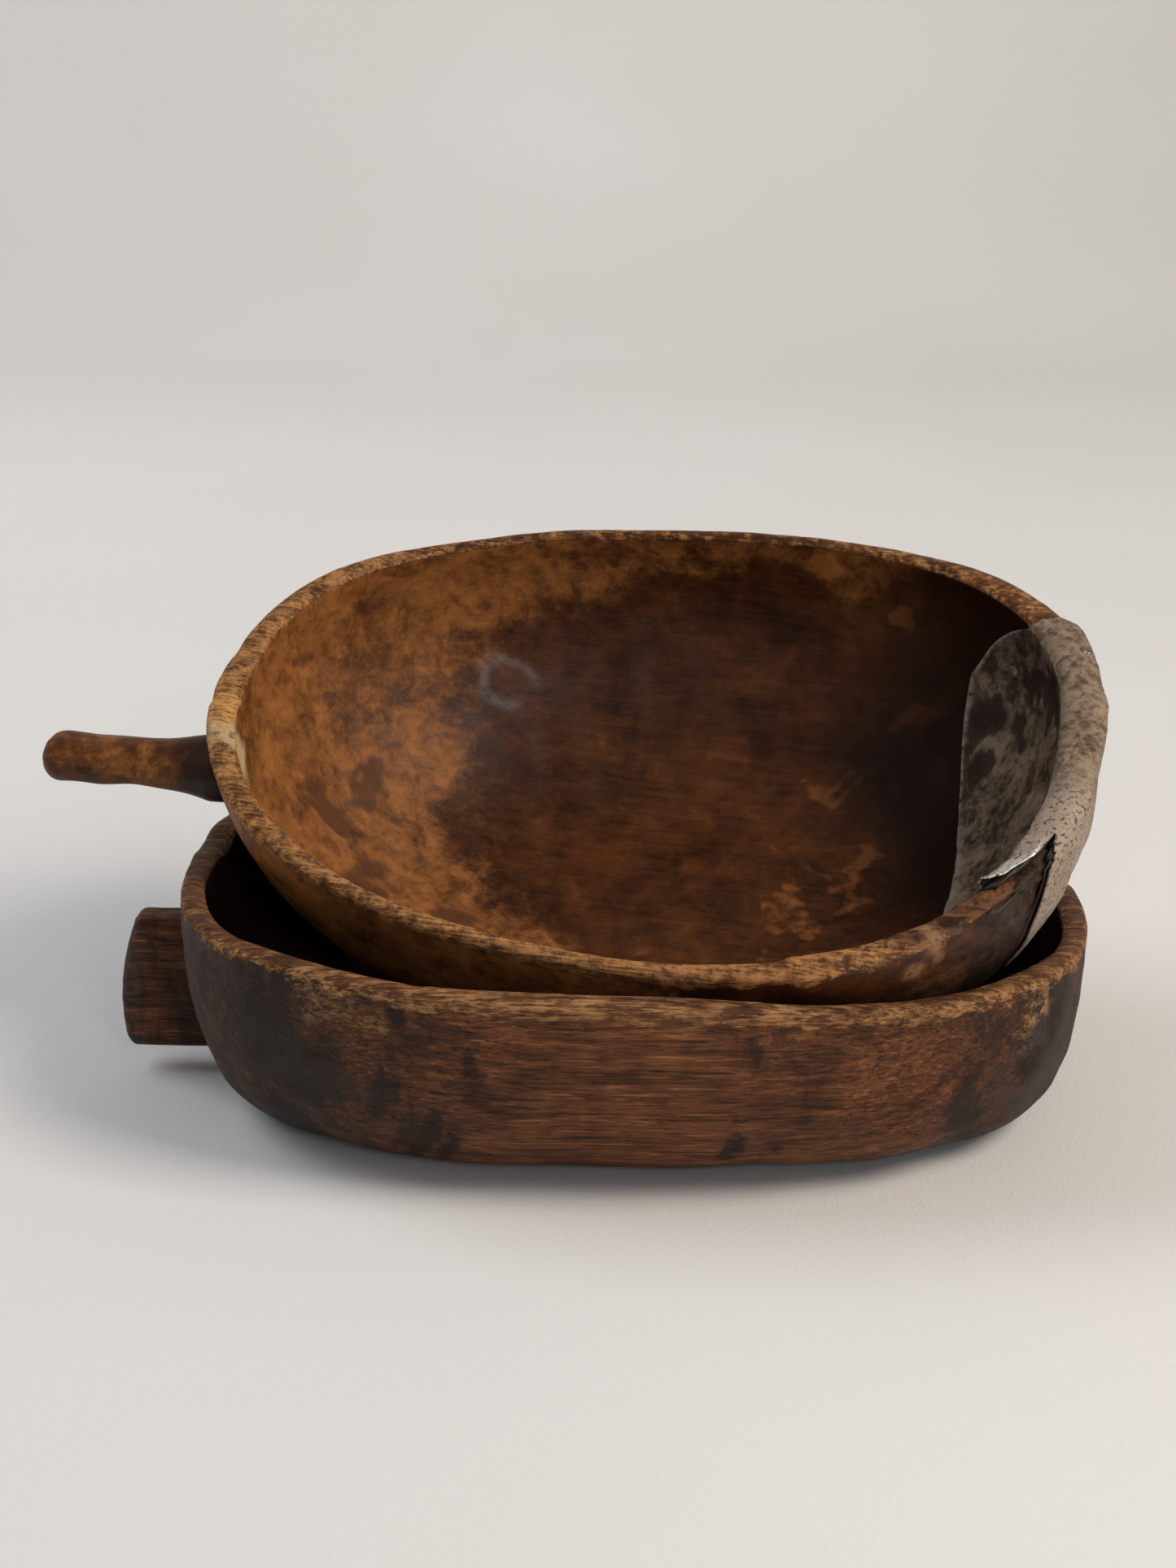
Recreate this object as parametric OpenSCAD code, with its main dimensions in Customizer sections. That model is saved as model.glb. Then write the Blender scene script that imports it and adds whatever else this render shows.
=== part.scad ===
// A kuksa: a hand-carved wooden drinking cup with a slender handle and a
// tin-mended rim, nested in its carved companion bowl with a stub handle.
//
// Frame: millimetres, +Z up, origin at the centre of the flat face that the
// bowl rests on, +X towards the mended end, +Y towards the raised side of the
// cup. The cup is drawn in its own frame, with its rim near z = 0 and its
// handle along -X, and cup_pose() tips it into the bowl.
//
// A point on a vessel has two coordinates: the angle around it, from +X, and
// the sweep down its wall, 0 at the rim and 90 at the middle of the bottom.

/* [Bowl] */
// Length of the bowl at its rim, without the stub handle
bowl_length = 243; // [215:1:262]
// Width of the bowl at its rim
bowl_width = 180; // [172:1:205]
// Height of the rim at the middle of the bowl
bowl_height = 57.5; // [52:0.5:66]
// Thickness of the wall at the rim
bowl_wall = 7.2; // [5:0.1:8.5]
// Thickness of the floor
bowl_floor = 9; // [6:0.5:12]
// How much lower the mended end of the rim is than the handle end
bowl_rim_fall = 7; // [0:0.5:9]
// Squareness of the outline: 2 is an ellipse, 4 nearly a rectangle
bowl_squareness = 2.6; // [2.2:0.05:3.2]

/* [Stub handle] */
// How far the stub reaches past the end of the bowl
stub_reach = 19; // [10:0.5:30]
// Thickness of the stub across the bowl
stub_thickness = 12; // [8:0.5:20]
// Height of the lower edge of the stub
stub_bottom = 7.5; // [5:0.5:12]
// Height of the upper edge of the stub
stub_top = 45.5; // [36:0.5:47]

/* [Cup] */
// Length of the cup at its rim, without the handle
cup_length = 240; // [214:1:246]
// Width of the cup at its rim
cup_width = 176; // [158:1:184]
// Depth of the outside of the cup
cup_depth = 76; // [60:1:84]
// Thickness of the wall along the sides
cup_wall = 4.6; // [4:0.1:7]
// Thickness of the wall at the handle end
cup_handle_end_wall = 8.4; // [6:0.1:10]
// Thickness of the wall under the mend
cup_mended_end_wall = 8.6; // [6:0.1:10]
// Thickness of the bottom
cup_bottom = 8; // [6:0.5:10]
// How much wider the mended half is than the handle half, as a share
cup_egg = 0.1; // [0:0.01:0.12]
// How much the ends of the rim rise above its sides
cup_saddle = 4.3; // [0:0.1:6]

/* [Cup handle] */
// Length of the handle outside the wall
handle_length = 47; // [35:1:70]
// Width of the handle
handle_width = 16; // [12:0.5:20]
// Thickness of the handle
handle_thickness = 12.5; // [9:0.5:15]

/* [Nesting] */
// How far the cup is tipped towards the near side
cup_tilt = 24.7; // [22:0.1:28]
// How far the handle is turned towards the far side
cup_yaw = 13.3; // [8:0.1:16]
// How far the mended end is raised
cup_lean = 5.3; // [3:0.1:7]
// How far the cup sits towards the mended end
cup_shift_x = 2; // [0:0.5:5]
// How far the cup sits towards the far side
cup_shift_y = 5.4; // [2:0.1:8]
// Gap left all round where the cup rests on the rim of the bowl
nest_clearance = 0.5; // [0.4:0.05:1]

/* [Tin patch] */
// Thickness of the tin sheet
tin = 0.5; // [0.4:0.05:0.8]
// Gap between the wood and the tin, filled by the pitch
pitch_gap = 0.8; // [0.6:0.05:1]
// Angle at which the far edge of the patch crosses the rim
patch_far = 23; // [19:1:28]
// Angle at which the torn near edge of the patch crosses the rim
patch_near = -21; // [-26:1:-18]
// Sweep of the lower edge of the inner leaf
inner_leaf_sweep = 46; // [38:1:50]
// Sweep of the lower edge of the outer leaf
outer_leaf_sweep = 24; // [18:1:32]

/* [Tacks] */
// Diameter of a tack's head
tack_head = 3.8; // [3:0.1:5]
// Height of a tack's head above the tin
tack_head_height = 0.9; // [0.6:0.1:1.4]
// Diameter of a tack's shank
tack_shank = 1.3; // [1:0.1:1.6]
// Length of a tack's shank below its head
tack_length = 5; // [4:0.5:6]

/* [Hidden] */
$fn = 32;

// Points around a vessel, and steps of the sweep down each side of its wall
around = 72;
sweep_steps = 15;
sweep_end = 90;
// Steps over the crown of a rim, and how high a crown stands on its wall
crown_steps = 6;
crown = 2;

// Share of the rim's half length and half width that the flat bottom keeps
bowl_bottom_length = 0.77;
bowl_bottom_width = 0.5;
cup_bottom_length = 0.30;
cup_bottom_width = 0.26;
// Fullness of a wall's section: 2 is an ellipse, more is a squarer bowl
bowl_fullness = 2.55;
cup_fullness = 2.1;
cup_squareness = 2.37;

bowl_a = bowl_length / 2;
bowl_b = bowl_width / 2;
cup_a = cup_length / 2;
cup_b = cup_width / 2;

// The handle of the cup leaves the wall here, below the rim
handle_angle = -163;
handle_turn = -173;
handle_rise = 4.5;
handle_drop = 9.5;
handle_root = 5;

// The patch crosses the rim aslant, over this much of the angle to each side.
// Its outer leaf narrows over this much more, and its inner leaf runs on
// further, dropping by this slope
patch_slant = 6;
outer_leaf_taper = 8;
inner_leaf_overrun = 12;
inner_leaf_slope = 2;
inner_leaf_near = patch_near - inner_leaf_overrun;
inner_leaf_far = patch_far + inner_leaf_overrun;
patch_columns = 34;
patch_rows = 30;
// Rows lie closer on the walls than over the crown, by this share
wall_density = 1.6;
tin_inside = pitch_gap;
tin_outside = pitch_gap + tin;
pitch_clearance = 0.1;
pitch_lift = 0.6;

// Tacks: angle around the cup, then the place along the patch's section,
// which is minus the sweep inside the cup, 0 to 180 over the rim, and
// 180 plus the sweep outside
inner_tacks = [[27, -14], [18, -38], [8, -43], [-14, -38]];
outer_tacks = [[8, 195], [3, 198], [-3, 198], [-8, 195]];
rim_tack_place = [17, 130];

// ---- Outlines and walls ----------------------------------------------------

function reach(angle, a, b, n) =
    pow(pow(abs(cos(angle)) / a, n) + pow(abs(sin(angle)) / b, n), -1 / n);

function spread(sweep, fullness) = pow(max(cos(sweep), 0), 2 / fullness);

function fall(sweep, fullness) = pow(sin(sweep), 2 / fullness);

// Place on the companion bowl: the inside when inside is 1
function bowl_rim_height(x) = bowl_height - bowl_rim_fall * x / bowl_length;

function bowl_point(angle, sweep, inside) =
    let (
        g = spread(sweep, bowl_fullness),
        a = bowl_a * (bowl_bottom_length + (1 - bowl_bottom_length) * g),
        b = bowl_b * (bowl_bottom_width + (1 - bowl_bottom_width) * g),
        r = reach(angle, a, b, bowl_squareness) - inside * bowl_wall,
        x = r * cos(angle),
        top = bowl_rim_height(x) - crown,
        bottom = inside * bowl_floor
    )
    [x, r * sin(angle), top - (top - bottom) * fall(sweep, bowl_fullness)];

function bowl_crown(angle, turn) =
    let (
        r = reach(angle, bowl_a, bowl_b, bowl_squareness) - bowl_wall / 2 - bowl_wall / 2 * cos(turn),
        x = r * cos(angle)
    )
    [x, r * sin(angle), bowl_rim_height(x) - crown + crown * sin(turn)];

// Place on the cup, lifted off the wood by the given gap
function cup_wall_at(angle) =
    cup_wall + pow(cos(angle), 2) * ((cos(angle) > 0 ? cup_mended_end_wall : cup_handle_end_wall) - cup_wall);

function cup_rim_height(x, y) = cup_saddle * (pow(x / cup_a, 2) - pow(y / cup_b, 2));

function lopsided(angle, r, z) =
    let (x = r * cos(angle), y = r * sin(angle))
    [x, y * (1 + cup_egg * x / cup_a), z];

function cup_point(angle, sweep, inside, gap = 0) =
    let (
        g = spread(sweep, cup_fullness),
        a = cup_a * (cup_bottom_length + (1 - cup_bottom_length) * g),
        b = cup_b * (cup_bottom_width + (1 - cup_bottom_width) * g),
        off = (1 - 2 * inside) * gap,
        r = reach(angle, a, b, cup_squareness) - inside * cup_wall_at(angle) + off * cos(sweep),
        deep = cup_depth - crown - inside * cup_bottom,
        rim = cup_rim_height(r * cos(angle), r * sin(angle)) * pow(cos(sweep), 2)
    )
    lopsided(angle, r, rim - crown - deep * fall(sweep, cup_fullness) - off * sin(sweep));

function cup_crown(angle, turn, gap = 0) =
    let (
        half = cup_wall_at(angle) / 2,
        r = reach(angle, cup_a, cup_b, cup_squareness) - half - (half + gap) * cos(turn),
        rim = cup_rim_height(r * cos(angle), r * sin(angle))
    )
    lopsided(angle, r, rim - crown + (crown + gap) * sin(turn));

// Place on the patch's section: inside, over the rim, outside
function patch_point(angle, place, gap) =
    place < 0 ? cup_point(angle, -place, 1, gap)
    : place > 180 ? cup_point(angle, place - 180, 0, gap)
    : cup_crown(angle, place, gap);

// ---- Nesting ---------------------------------------------------------------

// Turns a point of the cup's frame as the tipped cup stands in the bowl
function about_x(t, p) = [p[0], p[1] * cos(t) - p[2] * sin(t), p[1] * sin(t) + p[2] * cos(t)];
function about_y(t, p) = [p[0] * cos(t) + p[2] * sin(t), p[1], p[2] * cos(t) - p[0] * sin(t)];
function about_z(t, p) = [p[0] * cos(t) - p[1] * sin(t), p[0] * sin(t) + p[1] * cos(t), p[2]];
function tipped(p) = about_x(cup_tilt, about_y(-cup_lean, about_z(-cup_yaw, p)));

// Sweep at which the inside of the bowl has this radius, by halving
function bowl_sweep_at(angle, radius, low = 0, high = 90, steps = 12) =
    let (middle = (low + high) / 2, p = bowl_point(angle, middle, 1))
    steps == 0 ? middle
    : norm([p[0], p[1]]) > radius ? bowl_sweep_at(angle, radius, middle, high, steps - 1)
    : bowl_sweep_at(angle, radius, low, middle, steps - 1);

// Height of the bowl's inside or rim under a place, with the clearance added
function bowl_under(x, y) =
    let (
        angle = atan2(y, x),
        radius = norm([x, y]) + nest_clearance,
        middle = reach(angle, bowl_a, bowl_b, bowl_squareness) - bowl_wall / 2,
        u = (radius - middle) / (bowl_wall / 2),
        height = u > 1 ? -bowl_height
            : u > -1 ? bowl_rim_height(x) - crown + crown * sqrt(1 - u * u)
            : bowl_point(angle, bowl_sweep_at(angle, radius), 1)[2]
    )
    height + nest_clearance;

// The lowest place of the centre of the cup's rim at which nothing touches
cup_height = max([for (t = [0 : 5 : 355], s = [0 : 5 : 90])
    let (p = tipped(cup_point(t, s, 0)))
    bowl_under(p[0] + cup_shift_x, p[1] + cup_shift_y) - p[2]]);
cup_centre = [cup_shift_x, cup_shift_y, cup_height];

// ---- Solids from rings and grids -------------------------------------------

// A closed solid of rings of points, one inside or above the next, with a
// flat face at each end
module ring_solid(rings) {
    count = len(rings[0]);
    last = len(rings) - 1;
    polyhedron(
        points = [for (ring = rings) each ring],
        faces = concat(
            [[for (i = [0 : count - 1]) i]],
            [[for (i = [count - 1 : -1 : 0]) last * count + i]],
            [for (j = [0 : last - 1], i = [0 : count - 1])
                [j * count + i, (j + 1) * count + i, (j + 1) * count + (i + 1) % count]],
            [for (j = [0 : last - 1], i = [0 : count - 1])
                [j * count + i, (j + 1) * count + (i + 1) % count, j * count + (i + 1) % count]]
        ),
        convexity = 6
    );
}

function turns() = [for (i = [0 : around - 1]) 360 * i / around];
function sweeps_down() = [for (j = [0 : sweep_steps]) sweep_end * j / sweep_steps];
function sweeps_up() = [for (j = [sweep_steps : -1 : 0]) sweep_end * j / sweep_steps];
function crown_turns() = [for (j = [1 : crown_steps - 1]) 180 * j / crown_steps];

// A sheet that follows the patch's section between two gaps off the wood
module patch_sheet(near, far, inner, outer) {
    rows = patch_rows + 1;
    layer = rows * (patch_columns + 1);
    grid = [for (i = [0 : patch_columns]) near + (far - near) * i / patch_columns];
    points = [for (gap = [inner, outer], angle = grid, j = [0 : patch_rows])
        let (start = stretched(-inner_edge(angle)), end = stretched(outer_edge(angle)))
        patch_point(angle, unstretched(start + (end - start) * j / patch_rows), gap)];
    function at(k, i, j) = k * layer + i * rows + j;
    cells = [for (i = [0 : patch_columns - 1], j = [0 : patch_rows - 1]) [i, j]];
    sides = concat(
        [for (j = [0 : patch_rows - 1]) [[0, j], [0, j + 1]]],
        [for (i = [0 : patch_columns - 1]) [[i, patch_rows], [i + 1, patch_rows]]],
        [for (j = [patch_rows : -1 : 1]) [[patch_columns, j], [patch_columns, j - 1]]],
        [for (i = [patch_columns : -1 : 1]) [[i, 0], [i - 1, 0]]]
    );
    polyhedron(
        points = points,
        faces = concat(
            [for (c = cells) [at(0, c[0], c[1]), at(0, c[0], c[1] + 1), at(0, c[0] + 1, c[1] + 1)]],
            [for (c = cells) [at(0, c[0], c[1]), at(0, c[0] + 1, c[1] + 1), at(0, c[0] + 1, c[1])]],
            [for (c = cells) [at(1, c[0], c[1]), at(1, c[0] + 1, c[1] + 1), at(1, c[0], c[1] + 1)]],
            [for (c = cells) [at(1, c[0], c[1]), at(1, c[0] + 1, c[1]), at(1, c[0] + 1, c[1] + 1)]],
            [for (s = sides) [at(0, s[0][0], s[0][1]), at(1, s[0][0], s[0][1]), at(1, s[1][0], s[1][1])]],
            [for (s = sides) [at(0, s[0][0], s[0][1]), at(1, s[1][0], s[1][1]), at(0, s[1][0], s[1][1])]]
        ),
        convexity = 6
    );
}

// Lower edge of the inner leaf, which is rounded off at both ends
function inner_edge(angle) =
    let (
        middle = (inner_leaf_near + inner_leaf_far) / 2,
        half = (inner_leaf_far - inner_leaf_near) / 2 + 1,
        u = abs(angle - middle) / half
    )
    inner_leaf_sweep * pow(1 - pow(u, 2.6), 1 / 2.6) + 2;

// Where the sheet ends: at the lower edge of the outer leaf, then aslant back
// over the rim, then inside the cup
function outer_edge(angle) =
    let (past = max(angle - patch_far, patch_near - angle))
    past > patch_slant ? (patch_slant - past) * inner_leaf_slope
    : past > -patch_slant ? 180 * (patch_slant - past) / (2 * patch_slant)
    : 180 + outer_leaf_sweep * min(1, (-patch_slant - past) / outer_leaf_taper);

// Measures along the patch's section in which its rows are evenly spaced
function stretched(place) =
    place < 0 ? place * wall_density
    : place > 180 ? 180 + (place - 180) * wall_density
    : place;

function unstretched(q) =
    q < 0 ? q / wall_density
    : q > 180 ? 180 + (q - 180) / wall_density
    : q;

// ---- The cup's own frame ---------------------------------------------------

module cup_pose() {
    translate(cup_centre)
        rotate([cup_tilt, 0, 0])
        rotate([0, -cup_lean, 0])
        rotate([0, 0, -cup_yaw])
        children();
}

// Section of the handle, this far along it
function handle_swell(s) = 1 + 0.3 * pow(max(0, 1 - max(s, 0) / 14), 2);

function handle_round(s) =
    let (from_tip = min(1, max(0, (handle_length - s) / 7)))
    sqrt(max(0, 1 - pow(1 - from_tip, 2)));

function handle_ring(s) =
    let (
        w = handle_width / 2 * handle_swell(s) * handle_round(s),
        t = handle_thickness / 2 * handle_swell(s) * handle_round(s)
    )
    [for (i = [0 : 23]) [s, w * cos(15 * i), t * sin(15 * i)]];

module handle() {
    stations = concat(
        [-handle_root, 0, 3, 6, 10, 15, 22, 30],
        [for (u = [7, 5, 3, 1.6, 0.6, 0.1]) handle_length - u]
    );
    wall = cup_point(handle_angle, 5, 0);
    rim = cup_crown(handle_angle, 90);
    translate([wall[0], wall[1], rim[2] - handle_drop])
        rotate([0, 0, handle_turn])
        rotate([0, -handle_rise, 0])
        ring_solid([for (s = stations) handle_ring(s)]);
}

// ---- Sub-parts -------------------------------------------------------------

// The bowl and its stub handle are carved from one block
module companion_bowl() {
    color("saddlebrown") union() {
        ring_solid(concat(
            [for (s = sweeps_up()) [for (t = turns()) bowl_point(t, s, 0)]],
            [for (k = crown_turns()) [for (t = turns()) bowl_crown(t, 180 - k)]],
            [for (s = sweeps_down()) [for (t = turns()) bowl_point(t, s, 1)]]
        ));
        stub_handle();
    }
}

// A short upright plate; its end face bows outwards and leans in at the top
module stub_handle() {
    tip = -bowl_a - stub_reach;
    tall = stub_top - stub_bottom;
    into_wall = bowl_wall / 2;
    outer_side = [for (k = [0 : 8]) let (u = k / 8)
        [tip + 5 * pow(u, 3) + 2 * pow(1 - u, 6), stub_bottom + tall * u]];
    wall_side = [for (s = [10 : 8 : 66]) let (p = bowl_point(180, s, 0))
        if (p[2] > stub_bottom && p[2] < stub_top) [p[0] + into_wall, p[2]]];
    top_corner = [-bowl_a + into_wall, stub_top];
    low_corner = [wall_side[len(wall_side) - 1][0] + into_wall, stub_bottom];
    translate([0, stub_thickness / 2, 0])
        rotate([90, 0, 0])
        linear_extrude(stub_thickness)
        polygon(concat([low_corner], outer_side, [top_corner], wall_side));
}

// The cup and its handle are carved from one block
module cup_body() {
    color("sienna") cup_pose() union() {
        ring_solid(concat(
            [for (s = sweeps_up()) [for (t = turns()) cup_point(t, s, 0)]],
            [for (k = crown_turns()) [for (t = turns()) cup_crown(t, 180 - k)]],
            [for (s = sweeps_down()) [for (t = turns()) cup_point(t, s, 1)]]
        ));
        handle();
    }
}

module pitch_bed() {
    color("black") cup_pose()
        patch_sheet(inner_leaf_near, inner_leaf_far, pitch_gap * pitch_lift, pitch_gap - pitch_clearance);
}

// One sheet folded over the rim, with an inner and an outer leaf
module tin_patch() {
    color("silver") cup_pose()
        patch_sheet(inner_leaf_near, inner_leaf_far, tin_inside, tin_outside);
}

// A domed tack, driven square into the face of the tin at a place on it
module tack(place) {
    p = patch_point(place[0], place[1], tin_outside);
    along = patch_point(place[0] + 1, place[1], tin_outside) - p;
    down = patch_point(place[0], place[1] + 1, tin_outside) - p;
    out = cross(down, along);
    z = out / norm(out);
    x = along / norm(along);
    y = cross(z, x);
    color("gray") cup_pose()
        multmatrix([
            [x[0], y[0], z[0], p[0]],
            [x[1], y[1], z[1], p[1]],
            [x[2], y[2], z[2], p[2]],
            [0, 0, 0, 1]
        ])
        rotate_extrude()
        polygon(concat(
            [[0, -tack_length], [tack_shank / 2, 0.8 - tack_length], [tack_shank / 2, 0], [tack_head / 2, 0]],
            [for (k = [15 : 15 : 90]) [tack_head / 2 * cos(k), tack_head_height * sin(k)]]
        ));
}

companion_bowl();
cup_body();
pitch_bed();
tin_patch();
tack(rim_tack_place);  // rim_tack
for (i = [1 : 4]) tack(inner_tacks[i - 1]);
for (i = [1 : 4]) tack(outer_tacks[i - 1]);
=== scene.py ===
# %% [markdown]
# # A mended drinking cup, nested in its companion bowl
#
# Two vessels carved from single blocks of wood. The lower one is an oblong
# bowl with a stub of a handle. The upper one is a wide, thin cup with a
# slender handle. The far end of its rim has split, and somebody mended it
# with a folded sheet of tin, bedded on pitch and tacked down.
#
# The imported model gives the sizes and places of every part. Each part but
# the tacks is drawn again here with a finer mesh, so that tool marks, chips and
# dents are real shapes; the tacks keep their imported shape. Each gets a finish
# made from nodes.

import math

import bpy
import numpy as np
from mathutils import Matrix, Vector


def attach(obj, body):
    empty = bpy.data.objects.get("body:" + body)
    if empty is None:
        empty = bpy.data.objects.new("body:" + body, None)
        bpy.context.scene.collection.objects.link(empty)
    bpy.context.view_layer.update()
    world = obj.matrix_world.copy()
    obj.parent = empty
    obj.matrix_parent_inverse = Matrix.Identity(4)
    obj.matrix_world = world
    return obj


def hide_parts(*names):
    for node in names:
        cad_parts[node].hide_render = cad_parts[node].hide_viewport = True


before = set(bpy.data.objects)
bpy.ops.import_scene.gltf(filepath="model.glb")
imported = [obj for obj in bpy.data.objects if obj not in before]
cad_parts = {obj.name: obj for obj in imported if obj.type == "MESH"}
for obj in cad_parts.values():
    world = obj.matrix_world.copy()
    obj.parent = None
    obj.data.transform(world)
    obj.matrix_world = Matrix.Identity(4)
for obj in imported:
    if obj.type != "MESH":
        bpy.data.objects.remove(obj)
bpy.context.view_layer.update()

# %% [markdown]
# ## Where the viewer stands
#
# The camera looks slightly down on the pair, from the long side. It comes
# first, because everything else is judged from here. The roll is what a
# hand-held camera adds.

# %% Camera
def look_from(target, distance, elevation, roll, lens):
    up_angle, turn = math.radians(elevation), math.radians(roll)
    forward = Vector((0, math.cos(up_angle), -math.sin(up_angle)))
    level, rise = Vector((1, 0, 0)), Vector((0, math.sin(up_angle), math.cos(up_angle)))
    right = level * math.cos(turn) + rise * math.sin(turn)
    up = rise * math.cos(turn) - level * math.sin(turn)
    data = bpy.data.cameras.new("viewer")
    data.lens = lens
    camera = bpy.data.objects.new("viewer", data)
    bpy.context.scene.collection.objects.link(camera)
    turned = Matrix((right, up, -forward)).transposed().to_4x4()
    camera.matrix_world = Matrix.Translation(Vector(target) - forward * distance) @ turned
    bpy.context.scene.camera = camera
    return camera


camera = look_from(target=(-0.0127, 0, 0.084), distance=0.686, elevation=18.2, roll=0.7, lens=58.46)
print("camera stands at", [round(v, 3) for v in camera.matrix_world.translation])

# %% [markdown]
# ## The numbers of the two vessels
#
# Both vessels follow the same idea. The outline is a squared-off ellipse. A
# wall is described by two angles: one around the vessel, from the mended end,
# and one that sweeps from the rim, at 0, to the middle of the bottom, at 90.
# These are the sizes that the part itself has, in metres.

# %% Sizes
BOWL = dict(a=0.1215, b=0.090, height=0.0575, wall=0.0072, floor=0.009, fall=0.007,
            square=2.6, full=2.55, bottom=(0.77, 0.5))
CUP = dict(a=0.120, b=0.088, depth=0.076, side=0.0046, handle_end=0.0084, mended_end=0.0086,
           floor=0.008, egg=0.1, saddle=0.0043, square=2.37, full=2.1, bottom=(0.30, 0.26))
CROWN = 0.002
TILT, YAW, LEAN = 24.7, 13.3, 5.3
CUP_CENTRE = (0.002, 0.0054, 0.102324)


def reach(t, a, b, n):
    return (np.abs(np.cos(t) / a) ** n + np.abs(np.sin(t) / b) ** n) ** (-1 / n)


def spread(s, full):
    return np.maximum(np.cos(s), 0) ** (2 / full)


def fall(s, full):
    return np.maximum(np.sin(s), 0) ** (2 / full)


def soft_step(x, low, high):
    u = np.clip((x - low) / (high - low), 0, 1)
    return u * u * (3 - 2 * u)


# %% [markdown]
# ## Roughness by adding waves
#
# Hand work is never quite even. Adding a dozen waves of about one length and
# random directions gives a smooth unevenness of that size. The seed keeps it
# the same each time.

# %% Unevenness
def ripple(points, size, seed, waves=14):
    rng = np.random.default_rng(seed)
    heading = rng.normal(size=(waves, 3))
    heading /= np.linalg.norm(heading, axis=1)[:, None]
    rate = 2 * math.pi / size * rng.uniform(0.6, 1.5, waves)
    phase = rng.uniform(0, 2 * math.pi, waves)
    total = np.zeros(points.shape[:-1])
    for direction, k, start in zip(heading, rate, phase):
        total += np.cos(points @ direction * k + start)
    return total * math.sqrt(2 / waves)


# %% [markdown]
# ## The walls
#
# Each function gives points for an angle, a sweep and a side: 0 outside, 1
# inside. The crown is the rounded top of the wall, from its inner edge, at
# turn 0, to its outer edge, at turn 180.

# %% Walls of the bowl
def bowl_rim(x):
    return BOWL["height"] - BOWL["fall"] * x / (2 * BOWL["a"])


def bowl_wall(t, s, inside):
    g = spread(s, BOWL["full"])
    long, wide = BOWL["bottom"]
    a, b = BOWL["a"] * (long + (1 - long) * g), BOWL["b"] * (wide + (1 - wide) * g)
    r = reach(t, a, b, BOWL["square"]) - inside * BOWL["wall"]
    x, bottom = r * np.cos(t), inside * BOWL["floor"]
    top = bowl_rim(x) - CROWN
    return np.stack([x, r * np.sin(t), top - (top - bottom) * fall(s, BOWL["full"])], -1)


def bowl_crown(t, turn):
    half = BOWL["wall"] / 2
    r = reach(t, BOWL["a"], BOWL["b"], BOWL["square"]) - half - half * np.cos(turn)
    x = r * np.cos(t)
    return np.stack([x, r * np.sin(t), bowl_rim(x) - CROWN + CROWN * np.sin(turn)], -1)


# %% Walls of the cup, in its own frame
def cup_thick(t):
    end = np.where(np.cos(t) > 0, CUP["mended_end"], CUP["handle_end"])
    return CUP["side"] + np.cos(t) ** 2 * (end - CUP["side"])


def cup_place(t, r, z):
    x = r * np.cos(t)
    return np.stack([x, r * np.sin(t) * (1 + CUP["egg"] * x / CUP["a"]), z], -1)


def cup_rim(t, r):
    x, y = r * np.cos(t), r * np.sin(t)
    return CUP["saddle"] * ((x / CUP["a"]) ** 2 - (y / CUP["b"]) ** 2)


def cup_wall(t, s, inside, gap=0.0):
    g, off = spread(s, CUP["full"]), (1 - 2 * inside) * gap
    long, wide = CUP["bottom"]
    a, b = CUP["a"] * (long + (1 - long) * g), CUP["b"] * (wide + (1 - wide) * g)
    r = reach(t, a, b, CUP["square"]) - inside * cup_thick(t) + off * np.cos(s)
    deep = CUP["depth"] - CROWN - inside * CUP["floor"]
    rim = cup_rim(t, r) * np.cos(s) ** 2
    return cup_place(t, r, rim - CROWN - deep * fall(s, CUP["full"]) - off * np.sin(s))


def cup_crown(t, turn, gap=0.0):
    half = cup_thick(t) / 2
    r = reach(t, CUP["a"], CUP["b"], CUP["square"]) - half - (half + gap) * np.cos(turn)
    return cup_place(t, r, cup_rim(t, r) - CROWN + (CROWN + gap) * np.sin(turn))


# %% The cup's frame, tipped into the bowl
def turn_matrix(axis, degrees):
    return Matrix.Rotation(math.radians(degrees), 4, axis)


cup_frame = (Matrix.Translation(CUP_CENTRE) @ turn_matrix("X", TILT) @ turn_matrix("Y", -LEAN)
             @ turn_matrix("Z", -YAW))
print("the middle of the cup's rim stands at", [round(v, 3) for v in cup_frame.translation])

# %% [markdown]
# ## Rings into a mesh
#
# A vessel is a stack of rings: from the middle of the underside out and up
# the outside, over the crown, down the inside and in to the middle of the
# floor. One helper builds such a stack, another gives the direction that
# faces out of the wood, along which all carving and wear is pushed.

# %% Stack of rings
AROUND = 480
angles = np.linspace(0, 2 * math.pi, AROUND, endpoint=False)


def vessel_rings(wall, crown):
    """Points (ring, around, 3), and the sweep, turn and side of each ring."""
    rows, notes = [], []
    dense = 90 * np.linspace(0, 1, 66) ** 1.25
    shrink = [0.04, 0.16, 0.32, 0.48, 0.64, 0.8, 0.92]
    def flat(inside, shares):
        edge = wall(angles, np.full(AROUND, math.pi / 2), inside)
        middle = edge.mean(0)
        for share in shares:
            rows.append(middle + (edge - middle) * share)
            notes.append((90 + 40 * (1 - share), 0, inside))
    flat(0, shrink)
    for s in dense[::-1]:
        rows.append(wall(angles, np.full(AROUND, math.radians(s)), 0))
        notes.append((s, 180, 0))
    for turn in np.linspace(180, 0, 17)[1:-1]:
        rows.append(crown(angles, math.radians(turn)))
        notes.append((0, turn, 0.5))
    for s in dense:
        rows.append(wall(angles, np.full(AROUND, math.radians(s)), 1))
        notes.append((s, 0, 1))
    flat(1, shrink[::-1])
    return np.array(rows), np.array(notes)


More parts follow.
